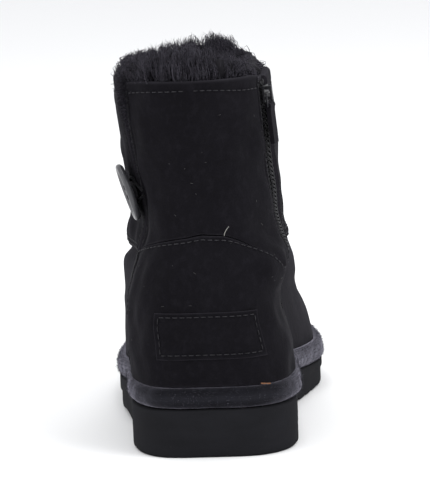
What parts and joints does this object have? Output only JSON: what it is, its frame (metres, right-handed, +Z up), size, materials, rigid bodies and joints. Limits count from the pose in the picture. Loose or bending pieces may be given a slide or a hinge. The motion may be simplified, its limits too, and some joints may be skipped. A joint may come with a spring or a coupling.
{
  "type": "sheepskin ankle boot",
  "caption": "Low suede boot lined with deep fleece, with a padded band over a thick ribbed sole, a side button with a loop and an inner side zip.",
  "frame": {"origin": "on the floor, under the middle of the boot's outer box", "axes": "+Z up, +Y from heel to toe, +X towards the inner side of the foot, where the zip is"},
  "size_m": [0.1018, 0.2682, 0.1816],
  "materials": {
    "suede": "soft black suede, matt with a faint nap",
    "binding": "brushed dark grey suede",
    "fleece": "deep black wool pile",
    "rubber": "matt black foam rubber",
    "button": "satin dark grey",
    "thread": "black thread and tape",
    "metal": "dark metal, lightly worn"
  },
  "bodies": {
    "boot": {"outsole": "rubber", "insole": "fleece", "upper": "suede", "sole_binding": "binding", "heel_counter": "suede", "back_panel": "suede", "front_panel": "suede", "heel_patch": "suede", "collar_fleece": "fleece", "button": "button", "button_thread": "thread", "elastic_loop": "thread", "zip_chain": "thread", "zip_slider": "metal"},
    "zip_pull": {"zip_pull": "metal", "zip_pull_tab": "suede"}
  },
  "joints": [
    {"name": "zip_pull_swing", "type": "hinge", "parent": "boot", "child": "zip_pull", "pos_m": [0.03357, -0.09057, 0.16182], "axis": [-0.2191, -0.9751, -0.0332], "range_deg": [0, 130]}
  ]
}
